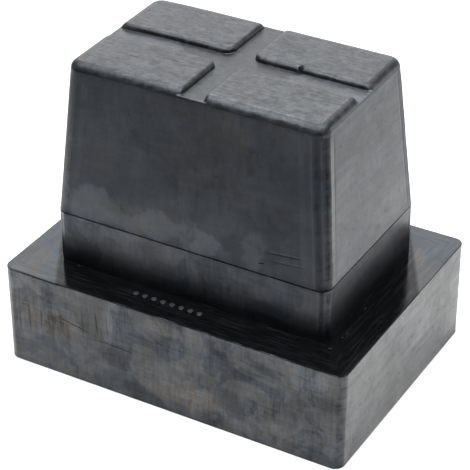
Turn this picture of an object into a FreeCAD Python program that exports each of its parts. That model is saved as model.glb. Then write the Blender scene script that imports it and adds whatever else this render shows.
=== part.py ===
import FreeCAD, Part
import math
import os
import Sketcher

# Moulded rubber support block, in millimetres, +Z up.
# The origin is the middle of the underside of the base, X runs along its long side.
# From the ground up: a rectangular base, a narrower upright band, the mould line, and a tapered
# upper part whose top is cut by two crossing grooves into four raised pads. A row of plain round
# pips stands on the ledge in front.
# A sketch is drawn roughly first, with draft numbers of its own, and its constraints then give
# it its sizes.

DRIVING_SIZES = [
    ("base_length", 160.0, "base along X"),
    ("base_width", 113.0, "base along Y"),
    ("base_height", 46.0, "ground to the ledge"),
    ("base_corner_radius", 4.2, "upright corners of the base"),
    ("base_rim_radius", 0.4, "upper and lower rim of the base"),
    ("band_length", 126.6, "upright band along X"),
    ("band_width", 79.4, "upright band along Y"),
    ("band_height", 24.0, "ledge to the mould line"),
    ("band_corner_radius", 5.0, "upright corners of the band"),
    ("band_foot_radius", 0.5, "hollow round where the band stands on the ledge"),
    ("lip_overhang", 0.3, "how far the upper part stands out over the band at the mould line"),
    ("upper_height", 68.5, "mould line to the top of the pads"),
    ("upper_lean", 4.7, "lean of the four sides of the upper part, in degrees"),
    ("upper_corner_radius", 6.0, "sloping corners of the upper part"),
    ("pad_rim_radius", 4.2, "round along the outside of the pads"),
    ("groove_width", 9.8, "grooves between the pads, where they open"),
    ("groove_depth", 2.5, "pad top to groove floor"),
    ("groove_lean", 4.0, "lean of the groove sides, in degrees"),
    ("groove_corner_radius", 3.0, "pad corners at the crossing, in plan"),
    ("groove_rim_radius", 2.0, "round along the pads beside the grooves"),
    ("pip_count", 8, "plain pips in the row on the ledge"),
    ("pip_pitch", 4.3, "from one pip to the next"),
    ("pip_diameter", 2.6, "one pip"),
    ("pip_height", 0.5, "one pip, above the ledge"),
    ("pip_row_start", -20.5, "first pip, from the middle of the base along X"),
    ("pip_row_inset", 10.0, "row of pips, in from the front of the base"),
]

doc = FreeCAD.newDocument("RubberSupportBlock")


def make_sheet():
    """Spreadsheet with one named size per row: alias, value and what it measures."""
    sheet = doc.addObject("Spreadsheet::Sheet", "Sizes")
    for row, (name, value, meaning) in enumerate(DRIVING_SIZES, start=1):
        sheet.set("A%d" % row, name)
        sheet.set("B%d" % row, "%g" % value)
        sheet.set("C%d" % row, meaning)
        sheet.setAlias("B%d" % row, name)
    doc.recompute()
    return sheet


sheet = make_sheet()


def size(name):
    """Value of one named size, in millimetres or degrees."""
    return float(sheet.get(name))


# Expressions of the sheet: heights above the ground, and the upper part's outline at the mould line.
LEDGE_LEVEL = "Sizes.base_height"
MOULD_LINE_LEVEL = LEDGE_LEVEL + " + Sizes.band_height"
TOP_LEVEL = MOULD_LINE_LEVEL + " + Sizes.upper_height"
FOOT_LENGTH = "Sizes.band_length + 2 * Sizes.lip_overhang"
FOOT_WIDTH = "Sizes.band_width + 2 * Sizes.lip_overhang"

# The same heights as numbers, to find edges by.
ledge_level = size("base_height")
mould_line_level = ledge_level + size("band_height")
top_level = mould_line_level + size("upper_height")

# Two heights or places that agree this closely, in millimetres, are the same.
NEAR = 0.001


def new_sketch(body, name, role="XY_Plane", level=None):
    """Sketch on one of the body's own planes, moved off it to a level of the sheet."""
    sketch = body.newObject("Sketcher::SketchObject", name)
    plane = [item for item in body.Origin.OriginFeatures if item.Role == role][0]
    sketch.AttachmentSupport = [(plane, "")]
    sketch.MapMode = "FlatFace"
    if level:
        sketch.setExpression("AttachmentOffset.Base.z", level)
    return sketch


def bind(sketch, constraint, name, expression):
    """Adds a constraint with a name and ties its value to the sheet."""
    index = sketch.addConstraint(constraint)
    sketch.renameConstraint(index, name)
    sketch.setExpression("Constraints." + name, expression)


def add_line(sketch, start, end):
    """Line of the sketch between two (x, y) points."""
    return sketch.addGeometry(Part.LineSegment(FreeCAD.Vector(*start, 0), FreeCAD.Vector(*end, 0)))


def hold_square(sketch, lines):
    """Keeps the four sides of a rectangle level and upright in turn."""
    for line, kind in zip(lines, ("Horizontal", "Vertical", "Horizontal", "Vertical")):
        sketch.addConstraint(Sketcher.Constraint(kind, line))


def rounded_rectangle(sketch, length, width, radius):
    """Rectangle centred on the sketch's origin, its four corners rounded alike.

    length, width and radius are expressions of the sheet.
    """
    half_x, half_y, draft_radius = 30.0, 20.0, 4.0
    in_x, in_y = half_x - draft_radius, half_y - draft_radius
    lines = [
        add_line(sketch, (in_x, -half_y), (-in_x, -half_y)),
        add_line(sketch, (-half_x, -in_y), (-half_x, in_y)),
        add_line(sketch, (-in_x, half_y), (in_x, half_y)),
        add_line(sketch, (half_x, in_y), (half_x, -in_y)),
    ]
    quarter = math.pi / 2
    arcs = []
    for turn, (x, y) in enumerate([(-in_x, -in_y), (-in_x, in_y), (in_x, in_y), (in_x, -in_y)]):
        circle = Part.Circle(FreeCAD.Vector(x, y, 0), FreeCAD.Vector(0, 0, 1), draft_radius)
        start = math.pi - turn * quarter
        arcs.append(sketch.addGeometry(Part.ArcOfCircle(circle, start, start + quarter)))
    # Each arc leads from the end of one side to the start of the next.
    for turn, arc in enumerate(arcs):
        sketch.addConstraint(Sketcher.Constraint("Tangent", lines[turn], 2, arc, 2))
        sketch.addConstraint(Sketcher.Constraint("Tangent", lines[(turn + 1) % 4], 1, arc, 1))
    hold_square(sketch, lines)
    for arc in arcs[1:]:
        sketch.addConstraint(Sketcher.Constraint("Equal", arcs[0], arc))
    sketch.addConstraint(Sketcher.Constraint("Symmetric", arcs[0], 3, arcs[2], 3, -1, 1))
    bind(sketch, Sketcher.Constraint("Radius", arcs[0], draft_radius), "corner", radius)
    bind(sketch, Sketcher.Constraint("DistanceX", lines[1], 1, lines[3], 1, 2 * half_x), "length", length)
    bind(sketch, Sketcher.Constraint("DistanceY", lines[0], 1, lines[2], 1, 2 * half_y), "width", width)


def closed_outline(sketch, corners):
    """Straight lines from corner to corner and back to the first, joined at their ends."""
    count = len(corners)
    lines = [add_line(sketch, corners[turn], corners[(turn + 1) % count]) for turn in range(count)]
    for turn in range(count):
        following = lines[(turn + 1) % count]
        sketch.addConstraint(Sketcher.Constraint("Coincident", lines[turn], 2, following, 1))
    return lines


def plain_rectangle(sketch, length, width):
    """Rectangle centred on the sketch's origin; length and width are expressions of the sheet."""
    half_x, half_y = 30.0, 20.0
    corners = [(-half_x, -half_y), (half_x, -half_y), (half_x, half_y), (-half_x, half_y)]
    lines = closed_outline(sketch, corners)
    hold_square(sketch, lines)
    sketch.addConstraint(Sketcher.Constraint("Symmetric", lines[0], 1, lines[1], 2, -1, 1))
    bind(sketch, Sketcher.Constraint("DistanceX", lines[0], 1, lines[0], 2, 2 * half_x), "length", length)
    bind(sketch, Sketcher.Constraint("DistanceY", lines[1], 1, lines[1], 2, 2 * half_y), "width", width)


def lean_wedges(sketch, width):
    """What the lean takes off two opposite sides: a pair of upright wedges, widest at the top."""
    half_foot, half_top, foot, top = 30.0, 27.0, 60.0, 120.0
    wedges = []
    for side in (1, -1):
        corners = [(side * half_foot, foot), (side * half_foot, top), (side * half_top, top)]
        wedges.append(closed_outline(sketch, corners))
    outer, upper_end, slope = wedges[0]
    for line, kind in ((outer, "Vertical"), (upper_end, "Horizontal")):
        sketch.addConstraint(Sketcher.Constraint(kind, line))
    for one, other in zip(*wedges):
        sketch.addConstraint(Sketcher.Constraint("Symmetric", one, 1, other, 1, -2))
    bind(sketch, Sketcher.Constraint("DistanceX", wedges[1][0], 1, outer, 1, 2 * half_foot), "width", width)
    bind(sketch, Sketcher.Constraint("DistanceY", -1, 1, outer, 1, foot), "foot", MOULD_LINE_LEVEL)
    bind(sketch, Sketcher.Constraint("DistanceY", outer, 1, outer, 2, top - foot), "height",
         "Sizes.upper_height")
    bind(sketch, Sketcher.Constraint("DistanceX", slope, 1, outer, 2, half_foot - half_top), "lean",
         "Sizes.upper_height * tan(Sizes.upper_lean)")


def groove_section(sketch):
    """Section of a groove on an upright plane: flat floor, sides that open towards the top."""
    half_floor, half_opening, floor, top = 4.0, 5.0, 130.0, 133.0
    corners = [(-half_floor, floor), (half_floor, floor), (half_opening, top), (-half_opening, top)]
    lines = closed_outline(sketch, corners)
    for level_line in (lines[0], lines[2]):
        sketch.addConstraint(Sketcher.Constraint("Symmetric", level_line, 1, level_line, 2, -2))
    bind(sketch, Sketcher.Constraint("DistanceX", lines[0], 1, lines[0], 2, 2 * half_floor), "floor",
         "Sizes.groove_width - 2 * Sizes.groove_depth * tan(Sizes.groove_lean)")
    bind(sketch, Sketcher.Constraint("DistanceX", lines[2], 2, lines[2], 1, 2 * half_opening), "opening",
         "Sizes.groove_width")
    bind(sketch, Sketcher.Constraint("DistanceY", lines[0], 1, lines[2], 2, top - floor), "depth",
         "Sizes.groove_depth")
    bind(sketch, Sketcher.Constraint("DistanceY", -1, 1, lines[2], 2, top), "top", TOP_LEVEL)


def runs_level(edge, level):
    """True for an edge all of which is at that height."""
    box = edge.BoundBox
    return abs(box.ZMin - level) < NEAR and abs(box.ZMax - level) < NEAR


def middle_of(edge):
    """Point half way along an edge."""
    return edge.valueAt((edge.FirstParameter + edge.LastParameter) / 2)


def round_edges(body, name, radius, wanted):
    """Rounds those edges of the body so far that wanted(edge) picks out, by the named size."""
    doc.recompute()
    base = body.Tip
    names = ["Edge%d" % number for number, edge in enumerate(base.Shape.Edges, start=1) if wanted(edge)]
    fillet = body.newObject("PartDesign::Fillet", name)
    fillet.Base = (base, names)
    fillet.setExpression("Radius", "Sizes." + radius)


def add_base(body):
    """Base: a rectangular slab with round upright corners and slightly softened rims."""
    outline = new_sketch(body, "BaseOutline")
    rounded_rectangle(outline, "Sizes.base_length", "Sizes.base_width", "Sizes.base_corner_radius")
    slab = body.newObject("PartDesign::Pad", "Base")
    slab.Profile = outline
    slab.setExpression("Length", "Sizes.base_height")

    def along_rim(edge):
        return runs_level(edge, 0.0) or runs_level(edge, ledge_level)

    round_edges(body, "BaseRims", "base_rim_radius", along_rim)


def add_band(body):
    """Upright band on the ledge of the base, with a small hollow round at its foot."""
    outline = new_sketch(body, "BandOutline", level=LEDGE_LEVEL)
    rounded_rectangle(outline, "Sizes.band_length", "Sizes.band_width", "Sizes.band_corner_radius")
    band = body.newObject("PartDesign::Pad", "Band")
    band.Profile = outline
    band.setExpression("Length", "Sizes.band_height")
    half_x, half_y = size("band_length") / 2, size("band_width") / 2

    def at_foot(edge):
        middle = middle_of(edge)
        inside = abs(middle.x) < half_x + NEAR and abs(middle.y) < half_y + NEAR
        return runs_level(edge, ledge_level) and inside

    round_edges(body, "BandFoot", "band_foot_radius", at_foot)


def cut_through(body, name, role, draw, span):
    """Cuts a section, drawn on an upright plane of the body, over a span centred on that plane."""
    section = new_sketch(body, name + "Section", role)
    draw(section)
    cut = body.newObject("PartDesign::Pocket", name)
    cut.Profile = section
    cut.Midplane = True
    cut.setExpression("Length", span)


def add_upper(body):
    """Upper part above the mould line: its sides lean in, its top outside edge is well rounded."""
    foot = new_sketch(body, "UpperFoot", level=MOULD_LINE_LEVEL)
    plain_rectangle(foot, FOOT_LENGTH, FOOT_WIDTH)
    upper = body.newObject("PartDesign::Pad", "Upper")
    upper.Profile = foot
    upper.setExpression("Length", "Sizes.upper_height")
    cut_through(body, "EndsLean", "XZ_Plane", lambda sketch: lean_wedges(sketch, FOOT_LENGTH), FOOT_WIDTH)
    cut_through(body, "SidesLean", "YZ_Plane", lambda sketch: lean_wedges(sketch, FOOT_WIDTH), FOOT_LENGTH)

    def leads_to_top(edge):
        box = edge.BoundBox
        return abs(box.ZMin - mould_line_level) < NEAR and abs(box.ZMax - top_level) < NEAR

    round_edges(body, "UpperCorners", "upper_corner_radius", leads_to_top)
    round_edges(body, "PadRims", "pad_rim_radius", lambda edge: runs_level(edge, top_level))


def add_grooves(body):
    """Two crossing grooves, open at all four sides, between four pads with softly rounded edges."""
    cut_through(body, "GrooveAlong", "YZ_Plane", groove_section, FOOT_LENGTH)
    cut_through(body, "GrooveAcross", "XZ_Plane", groove_section, FOOT_WIDTH)

    floor_level = top_level - size("groove_depth")
    half = size("groove_width") / 2

    def at_crossing(edge):
        box = edge.BoundBox
        upright = abs(box.ZMin - floor_level) < NEAR and abs(box.ZMax - top_level) < NEAR
        place = middle_of(edge)
        return upright and abs(place.x) < half + NEAR and abs(place.y) < half + NEAR

    round_edges(body, "PadCorners", "groove_corner_radius", at_crossing)

    def beside_groove(edge):
        """Edges that reach the pad tops within a corner radius of a groove's opening."""
        place = middle_of(edge)
        beyond = half + size("groove_corner_radius")
        off_x, off_y = abs(place.x), abs(place.y)
        at_top = abs(edge.BoundBox.ZMax - top_level) < NEAR and place.z > floor_level + NEAR
        on_flat = runs_level(edge, top_level) and min(off_x, off_y) < beyond - NEAR
        falls_outside = not runs_level(edge, top_level) and max(off_x, off_y) > beyond + NEAR
        return at_top and (on_flat or falls_outside and min(off_x, off_y) < half + NEAR)

    round_edges(body, "GrooveRims", "groove_rim_radius", beside_groove)


def add_pips(body):
    """Row of small plain round pips on the ledge, in front of the band."""
    outline = new_sketch(body, "PipOutline", level=LEDGE_LEVEL)
    draft_place, draft_radius = FreeCAD.Vector(-10, -40, 0), 1.0
    circle = outline.addGeometry(Part.Circle(draft_place, FreeCAD.Vector(0, 0, 1), draft_radius))
    bind(outline, Sketcher.Constraint("Diameter", circle, 2 * draft_radius), "diameter", "Sizes.pip_diameter")
    bind(outline, Sketcher.Constraint("DistanceX", -1, 1, circle, 3, draft_place.x), "start",
         "Sizes.pip_row_start")
    bind(outline, Sketcher.Constraint("DistanceY", circle, 3, -1, 1, -draft_place.y), "row",
         "Sizes.base_width / 2 - Sizes.pip_row_inset")
    pip = body.newObject("PartDesign::Pad", "Pip")
    pip.Profile = outline
    pip.setExpression("Length", "Sizes.pip_height")
    row = body.newObject("PartDesign::LinearPattern", "PipRow")
    row.Originals = [pip]
    row.Direction = (outline, ["H_Axis"])
    row.setExpression("Length", "Sizes.pip_pitch * (Sizes.pip_count - 1)")
    row.setExpression("Occurrences", "Sizes.pip_count")
    body.Tip = row


def make_block():
    """The whole block, one solid."""
    body = doc.addObject("PartDesign::Body", "RubberBlock")
    body.Label = "rubber_block"
    add_base(body)
    add_band(body)
    add_upper(body)
    add_grooves(body)
    add_pips(body)
    return body


def check_document():
    """Stops if any object of the document failed, or a body is not one sound solid."""
    doc.recompute()
    for item in doc.Objects:
        if "Invalid" in item.State or "Error" in item.State:
            raise RuntimeError("%s is %s" % (item.Name, item.State))
        shape = getattr(item, "Shape", None)
        if item.TypeId.startswith("PartDesign::") and shape is not None:
            if shape.isNull() or not shape.isValid():
                raise RuntimeError("%s has no sound shape" % item.Name)


block = make_block()
check_document()
if len(block.Shape.Solids) != 1:
    raise RuntimeError("the block is not one solid")
os.makedirs("parts", exist_ok=True)
block.Shape.exportStep("parts/%s.step" % block.Label)
print("%s: %.0f cubic mm" % (block.Label, block.Shape.Volume))
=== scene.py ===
"""Solid rubber support block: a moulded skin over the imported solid, the pips on its ledge, and the studio."""

import math
from collections import namedtuple

import bpy
import numpy as np
from bpy.props import FloatProperty, FloatVectorProperty, IntProperty, PointerProperty
from bpy.types import Operator, Panel, PropertyGroup
from mathutils import Matrix, Vector


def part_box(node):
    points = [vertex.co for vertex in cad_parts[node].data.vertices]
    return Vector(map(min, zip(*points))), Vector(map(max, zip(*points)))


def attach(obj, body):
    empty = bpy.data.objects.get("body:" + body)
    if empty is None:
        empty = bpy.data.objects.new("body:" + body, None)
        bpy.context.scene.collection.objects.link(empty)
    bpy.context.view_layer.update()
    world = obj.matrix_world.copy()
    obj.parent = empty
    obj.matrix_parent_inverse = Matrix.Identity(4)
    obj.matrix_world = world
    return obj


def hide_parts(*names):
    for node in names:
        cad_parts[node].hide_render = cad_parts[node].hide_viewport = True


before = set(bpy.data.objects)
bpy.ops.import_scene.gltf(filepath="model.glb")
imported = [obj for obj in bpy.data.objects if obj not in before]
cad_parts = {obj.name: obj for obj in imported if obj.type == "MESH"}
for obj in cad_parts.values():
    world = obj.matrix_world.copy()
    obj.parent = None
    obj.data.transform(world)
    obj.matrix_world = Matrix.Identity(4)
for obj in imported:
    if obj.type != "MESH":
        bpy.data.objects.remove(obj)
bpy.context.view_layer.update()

bl_info = {
    "name": "Rubber Support Block",
    "version": (1, 0, 0),
    "blender": (4, 5, 0),
    "location": "View3D > Sidebar > Support Block",
    "description": "Makes a moulded rubber support block with crossed grooves, and a studio to see it in",
    "category": "Add Mesh",
}

NODE = "rubber_block"
BODY = "root"
MM = 0.001

block_low, block_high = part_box(NODE)


# Sizes

def length(name, default, description):
    """A size in metres, as a property of the add-on."""
    return FloatProperty(name=name, description=description, default=default, unit="LENGTH", precision=5)


def tilt(name, degrees, description):
    """An angle given in degrees, as a property of the add-on."""
    return FloatProperty(name=name, description=description, default=math.radians(degrees), subtype="ANGLE")


def number(name, default, description):
    """A plain number, as a property of the add-on."""
    return FloatProperty(name=name, description=description, default=default)


def colour(name, default, description):
    """A colour, as a property of the add-on."""
    return FloatVectorProperty(name=name, description=description, default=default, size=3, subtype="COLOR",
                               min=0.0, max=1.0)


def direction(name, default, description, subtype="DIRECTION"):
    """A direction or a place, as a property of the add-on."""
    return FloatVectorProperty(name=name, description=description, default=default, size=3, subtype=subtype,
                               precision=6)


class BlockSizes(PropertyGroup):
    """Sizes of the moulded block."""
    block_length: length("Length", block_high[0] - block_low[0], "Base along X")
    block_width: length("Width", block_high[1] - block_low[1], "Base along Y")
    block_height: length("Height", block_high[2] - block_low[2], "Ground to the top of the pads")
    base_height: length("Base height", 46 * MM, "Ground to the ledge")
    base_corner: length("Base corner", 4.2 * MM, "Radius of the upright corners of the base")
    base_rim: length("Base rim", 0.4 * MM, "Radius of the upper and lower rim of the base")
    band_length: length("Band length", 126.6 * MM, "Upright band along X")
    band_width: length("Band width", 79.4 * MM, "Upright band along Y")
    band_height: length("Band height", 24 * MM, "Ledge to the mould line")
    band_corner: length("Band corner", 5 * MM, "Radius of the upright corners of the band")
    lip: length("Lip", 0.18 * MM, "How far the upper part stands out over the band")
    line_depth: length("Mould line depth", 0.5 * MM, "How deep the mould line runs in below the lip")
    line_height: length("Mould line height", 0.58 * MM, "Height of the mould line's slit")
    upper_lean: tilt("Upper lean", 4.7, "Lean of the upper part's sides")
    foot_corner: length("Foot corner", 5.5 * MM, "Radius of the upper part's corners at the mould line")
    flat_corner: length("Flat corner", 1.6 * MM, "Radius of the outer corners of the pads' flats")
    pad_rim: length("Pad rim", 4.2 * MM, "Round along the outside of the pads")
    groove_width: length("Groove width", 9.8 * MM, "Grooves between the pads, where they open")
    groove_depth: length("Groove depth", 2.5 * MM, "Pad top to groove floor")
    groove_lean: tilt("Groove lean", 4.0, "Lean of the groove's sides")
    groove_rim: length("Groove rim", 2.0 * MM, "Round along the pads beside the grooves")
    groove_foot: length("Groove foot", 0.35 * MM, "Hollow round at the foot of the groove's sides")
    crossing_corner: length("Crossing corner", 2.4 * MM, "Radius of the flats' corners at the crossing")
    mouth: length("Groove mouth", 2.4 * MM, "How far the pads' edges draw back where a groove runs out")
    sag: length("Sag", 0.10 * MM, "How far the moulded sides are drawn in, at most")
    ridge: length("Corner ridge", 0.22 * MM, "Height of the thin ridges that run up the corners")


class PipSizes(PropertyGroup):
    """Sizes of the row of pips on the ledge."""
    count: IntProperty(name="Pips", description="Pips in the row", default=8, min=1)
    pitch: length("Pitch", 4.3 * MM, "From one pip to the next")
    diameter: length("Diameter", 2.6 * MM, "One pip")
    height: length("Height", 0.5 * MM, "One pip, above the ledge")
    crown: length("Crown", 0.3 * MM, "Round of a pip's upper edge")
    first: length("First", -20.5 * MM, "First pip, from the middle along X")
    inset: length("Inset", 10 * MM, "Row of pips, in from the front of the base")


class RubberFinish(PropertyGroup):
    """Colours and gloss of the rubber."""
    black: colour("Rubber", (0.0014, 0.0015, 0.0018), "Clean black rubber")
    # The haze colour also paints the glints, which are painted highlights
    haze: colour("Haze", (0.016, 0.017, 0.0175), "Dry haze where the surface has bloomed")
    worn: colour("Worn", (0.021, 0.022, 0.023), "Worn tops of the pips, and flecks of dry rubber")
    gloss_plain: colour("Sheen", (0.67, 0.73, 0.80), "Sheen of clean rubber")
    gloss_blue: colour("Blue sheen", (0.55, 0.66, 0.80), "Sheen of the thin bluish film")
    gloss_brown: colour("Brown sheen", (0.77, 0.735, 0.70), "Sheen of the thin brownish film")
    side_roughness: number("Side roughness", 0.23, "Roughness of the moulded sides")
    top_roughness: number("Top roughness", 0.36, "Roughness of the rubbed pads")
    band_roughness: number("Band roughness", 0.36, "Roughness of the band")
    ledge_roughness: number("Ledge roughness", 0.10, "Roughness of the ledge")


class StudioSettings(PropertyGroup):
    """Floor, lights and camera."""
    floor_reach: length("Floor", 6.0, "Side of the square floor")
    floor_colour: colour("Floor colour", (0.86, 0.86, 0.86), "Pale floor")
    top_power: number("Top light", 7.2, "Power of the softbox overhead")
    back_power: number("Back light", 12.4, "Power of the panel behind")
    side_power: number("Side light", 2.0, "Power of the panel behind at the right")
    front_power: number("Front light", 0.9, "Power of the small panel over the front")
    left_power: number("Left light", 1.0, "Power of the small panel at the left")
    right_power: number("Right light", 0.5, "Power of the small panel at the right")
    room: colour("Room", (0.27, 0.27, 0.27), "Light of the room on every side")
    camera_place: direction("Camera", (0.34155, -0.59199, 0.49194), "Where the camera stands", "TRANSLATION")
    camera_right: direction("Camera right", (0.867391, 0.497602, -0.004970), "Direction to the picture's right")
    camera_back: direction("Camera back", (0.421582, -0.729498, 0.538611), "Direction away from the picture")
    focal_length: number("Focal length", 148.2, "Lens for a frame 36 mm wide")


# Shapes

Lines = namedtuple("Lines", "side share inner place outer")

# Steps of the top's grid: half a groove's floor, a rim beside a groove, an outer rim, a pad along X and along Y
FLOOR_STEPS, RIM_STEPS, EDGE_STEPS, PAD_STEPS_X, PAD_STEPS_Y = 7, 18, 15, 72, 30
# Power that crowds the lines over a pad towards its outer rim
CROWDING = 1.4
# Greatest angle in degrees between two faces that are shaded as one
SMOOTH_ANGLE = 38
# Dents in the top, in millimetres: depth, place and reach of the nick in a pad's rim and of two small chips
DENTS = ((0.9, (26.4, 5.6), (0.8, 1.3)), (0.35, (43.0, 6.2), (1.2, 0.8)), (0.3, (-8.2, 9.0), (1.4, 1.0)))
# How far below the top the corners' lines have their full strength, as tones and as ridges
TONE_END, RIDGE_END = 4.8 * MM, 7.5 * MM


def quarter_turn(steps):
    """Shares of a square's side that turn evenly on the round: sqrt(2) times the sine of 0 to 45 degrees."""
    return math.sqrt(2) * np.sin(np.linspace(0, math.pi / 4, steps + 1))


def axis_lines(inner, outer, pad_steps):
    """Lines over the top along one axis, from the middle of the groove out, and mirrored.

    share runs 0 to 1 over the groove floor, inner 1 to 0 over the pad's rim beside the groove, place is where a
    line stands between the two corner centres, and outer runs 0 to 1 over the pad's outer rim.
    """
    floor = np.arange(FLOOR_STEPS) / FLOOR_STEPS
    rim = quarter_turn(RIM_STEPS)[::-1]
    pad = outer - (outer - inner) * np.linspace(1, 0, pad_steps + 1)[1:-1] ** CROWDING
    edge = quarter_turn(EDGE_STEPS)
    near, far = len(floor) + len(rim), len(pad) + len(edge)
    share = np.concatenate([floor, np.ones(len(rim) + far)])
    inner_turn = np.concatenate([np.ones(len(floor)), rim, np.zeros(far)])
    place = np.concatenate([np.full(near, inner), pad, np.full(len(edge), outer)])
    outer_turn = np.concatenate([np.zeros(near + len(pad)), edge])
    side = np.ones(near + far)
    both = [np.concatenate([part[:0:-1], part]) for part in (share, inner_turn, place, outer_turn)]
    return Lines(np.concatenate([-side[:0:-1], side]), *both)


def drawn_round(a, b):
    """Reach and direction of a quarter square drawn out to a quarter disc.

    The point is (a times the root of 1 - bb/2, b times the root of 1 - aa/2).
    """
    x = a * np.sqrt(1 - b * b / 2)
    y = b * np.sqrt(1 - a * a / 2)
    reach = np.hypot(x, y)
    whole = np.where(reach > 0, reach, 1)
    return reach, x / whole, y / whole


def bent_path(corners, radii, steps=24):
    """Path through the corners, each inner one rounded by an arc: centre plus radius times sine and cosine."""
    points = [np.array(corners[0])[None, :]]
    for before, corner, after, radius in zip(corners, corners[1:], corners[2:], radii):
        before, corner, after = (np.array(point) for point in (before, corner, after))
        arriving = (corner - before) / np.linalg.norm(corner - before)
        leaving = (after - corner) / np.linalg.norm(after - corner)
        turn = math.acos(float(arriving @ leaving))
        start = corner - arriving * radius * math.tan(turn / 2)
        inward = (leaving - arriving * math.cos(turn)) / math.sin(turn)
        angle = np.linspace(0, turn, steps + 1)[:, None]
        points.append(start + radius * (arriving * np.sin(angle) + inward * (1 - np.cos(angle))))
    points.append(np.array(corners[-1])[None, :])
    return np.vstack(points)


def along(path, share):
    """Point of a path at a share of its length, for a whole array of shares."""
    steps = np.hypot(*np.diff(path, axis=0).T)
    travelled = np.concatenate([[0], np.cumsum(steps)]) / steps.sum()
    return np.interp(share, travelled, path[:, 0]), np.interp(share, travelled, path[:, 1])


def soft_maximum(a, b, blend):
    """The larger of two heights, with the crease between them rounded over the blend height."""
    near = np.clip(blend - np.abs(a - b), 0, None)
    return np.maximum(a, b) + near * near / (4 * blend)


def drift(a, b, turns, start):
    """Slow change over two parameters, -1 to 1: three crossed sine waves of uneven length."""
    waves = (np.sin(turns * a + 1.7 * b * turns + start)
             + np.sin(1.63 * turns * a - 0.8 * turns * b + 2.1 * start)
             + np.sin(0.47 * turns * a + 2.3 * turns * b + 3.3 * start))
    return waves / 3


def bump_at(x, y, place, reach):
    """A soft mound of height 1 round a place: the bell curve of the distance over the reach."""
    return np.exp(-(((x - place[0]) / reach[0]) ** 2 + ((y - place[1]) / reach[1]) ** 2))


def fade(value, low, high):
    """Straight rise from 0 to 1 between two values."""
    return np.clip((value - low) / (high - low), 0, 1)


def bell(value, centre, reach):
    """Bell curve: e to the minus square of the distance from the centre over the reach."""
    return np.exp(-((value - centre) / reach) ** 2)


class TopShape:
    """The four pads and the crossed grooves: one grid over the whole top."""

    def __init__(self, s):
        lean = s.upper_lean
        top = s.block_height
        rim_cut = s.pad_rim * math.tan((math.pi / 2 - lean) / 2)
        sharp = s.flat_corner + rim_cut
        rim_end = (sharp + rim_cut * math.sin(lean), top - rim_cut * math.cos(lean))
        self.outer = bent_path([(0, top), (sharp, top), rim_end], [s.pad_rim])
        self.rim_reach, self.rim_level = self.outer[-1]
        fall = math.tan(lean) * (self.rim_level - s.base_height - s.band_height)
        self.half_length = s.band_length / 2 + s.lip - fall
        self.half_width = s.band_width / 2 + s.lip - fall
        wall_cut = s.groove_rim * math.tan((math.pi / 2 - s.groove_lean) / 2)
        foot_cut = s.groove_foot * math.tan((math.pi / 2 - s.groove_lean) / 2)
        brink = s.crossing_corner + wall_cut
        foot = brink + s.groove_depth * math.tan(s.groove_lean)
        low = -s.groove_depth
        self.inner = bent_path([(0, 0), (brink, 0), (foot, low), (foot + foot_cut, low)],
                               [s.groove_rim, s.groove_foot])
        corner_centre = s.groove_width / 2 + brink
        self.core_length = self.half_length - self.rim_reach
        self.core_width = self.half_width - self.rim_reach
        self.lines_x = axis_lines(corner_centre, self.core_length, PAD_STEPS_X)
        self.lines_y = axis_lines(corner_centre, self.core_width, PAD_STEPS_Y)
        self.floor = top - s.groove_depth
        self.sizes = s

    def grid(self):
        """Corner centre, outward direction, finished x, y and z of every point, and its drop below the flats.

        Inside, the pad's section is carried round its corner at the crossing; outside, the rim's section is
        carried round the outline. Height = rim height less the drop of the groove's side, never below the
        floor, with the crease between them rounded, less the wear.
        """
        crease = 0.2 * MM
        lx = Lines(*(part[:, None] for part in self.lines_x))
        ly = Lines(*(part[None, :] for part in self.lines_y))
        inner_reach, inner_x, inner_y = drawn_round(lx.inner, ly.inner)
        outer_reach, outer_x, outer_y = drawn_round(lx.outer, ly.outer)
        back, drop = along(self.inner, inner_reach)
        out, height = along(self.outer, outer_reach)
        core_x = lx.side * lx.share * (lx.place - back * inner_x + self.mouth(lx, ly))
        core_y = ly.side * ly.share * (ly.place - back * inner_y + self.mouth(ly, lx))
        way_x, way_y = lx.side * outer_x, ly.side * outer_y
        x, y = core_x + out * way_x, core_y + out * way_y
        z = soft_maximum(height + drop, np.minimum(height, self.floor), crease)
        z = np.minimum(z, height)
        return core_x, core_y, way_x, way_y, x, y, z - self.wear(x, y), self.sizes.block_height - z

    def mouth(self, here, other):
        """How far a groove's side draws back where it runs out: mouth times the square of the way over the rim.

        The pad's edge moves by the whole mouth and the groove's floor by a quarter of it. Over the pad it
        fades with the square of the way that is left of its reach.
        """
        reach, held = 9 * MM, 0.75
        over_pad = np.clip(1 - (here.place - here.place.min()) / reach, 0, 1) ** 2
        return self.sizes.mouth * other.outer ** 2 * (1 - held * here.inner) * over_pad

    def wear(self, x, y):
        """Depth of the wear on the top: slow hollows, fine unevenness, the dents, and the pads' left ends.

        The left ends sag by the square of the way out to them.
        """
        sag, inner_end, outer_end = 0.7 * MM, 25 * MM, 57 * MM
        worn = 0.03 * MM * (1 + drift(x, y, 90.0, 0.4)) + 0.01 * MM * (1 + drift(x, y, 1000.0, 1.9))
        worn = worn + sag * fade(-x, inner_end, outer_end) ** 2
        for depth, place, reach in DENTS:
            worn = worn + depth * MM * bump_at(x / MM, y / MM, place, reach)
        return worn


def straight(start, end, steps):
    """Stations from one to another in even steps, without the last."""
    return np.linspace(start, end, steps + 1)[:-1]


def panel(start, end, steps, first=True):
    """Stations over a broad face: even steps, and one more close to each end, which keeps the shading flat.

    Without first, there is no extra one at the start.
    """
    share = np.linspace(0, 1, steps + 1)
    close = 0.12 * MM / np.abs(end - start).max()
    share = np.concatenate([[0, close] if first else [0], share[1:-1], [1 - close]])[:, None]
    return start + (end - start) * share


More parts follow.
